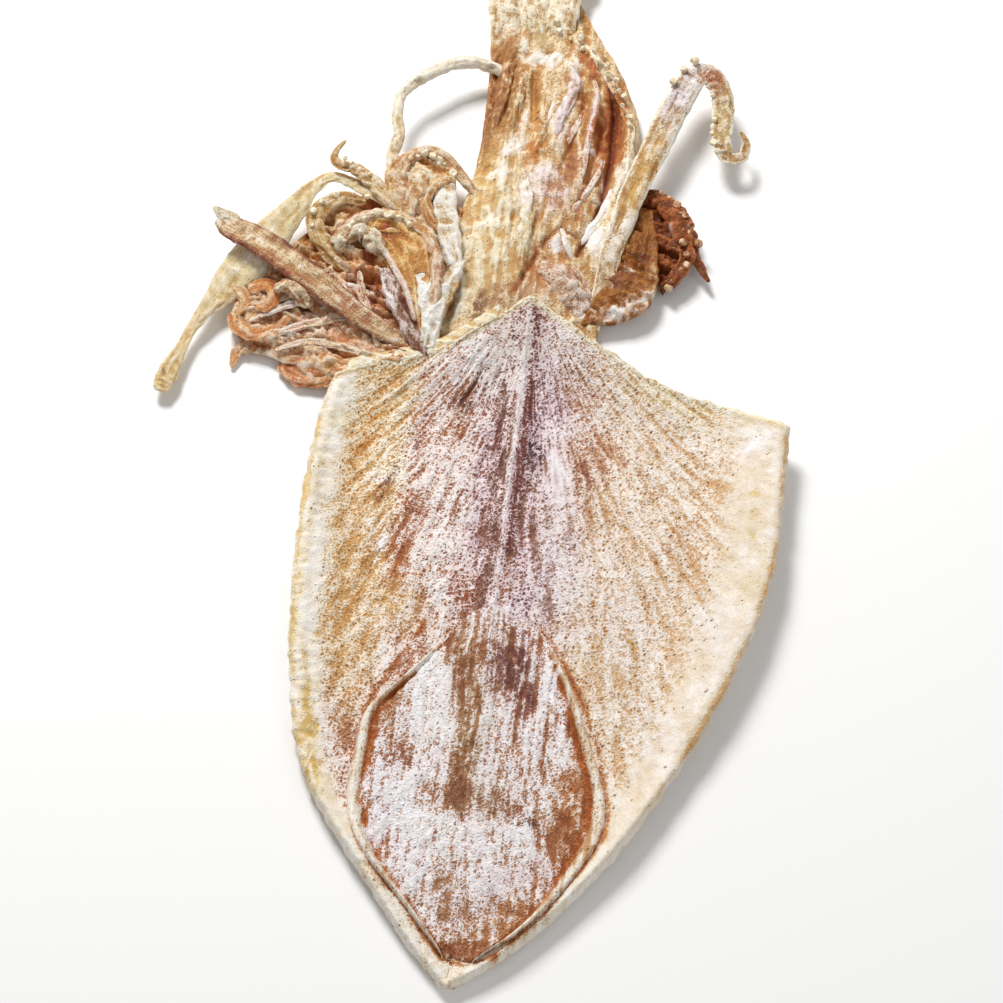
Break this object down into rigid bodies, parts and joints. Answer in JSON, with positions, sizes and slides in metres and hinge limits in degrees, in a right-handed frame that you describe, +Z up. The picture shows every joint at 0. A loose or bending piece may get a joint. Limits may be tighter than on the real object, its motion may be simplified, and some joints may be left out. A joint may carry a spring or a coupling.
{
  "type": "dried squid",
  "caption": "Whole squid split, opened flat and dried: shield-shaped mantle with a raised rim, folded fins at the tail, head and arms beyond the front edge.",
  "frame": {"origin": "on the table, under the middle of the squid's outline", "axes": "+Z up from the table to the skin side, +Y from the tail to the arms, +X to the squid's right in the view from above"},
  "size_m": [0.1838, 0.3564, 0.0152],
  "materials": {
    "dried_flesh": "dry leathery flesh, cream to orange-brown, with a white bloom on its ridges"
  },
  "bodies": {
    "root": {"dried_squid": "dried_flesh"}
  },
  "joints": []
}
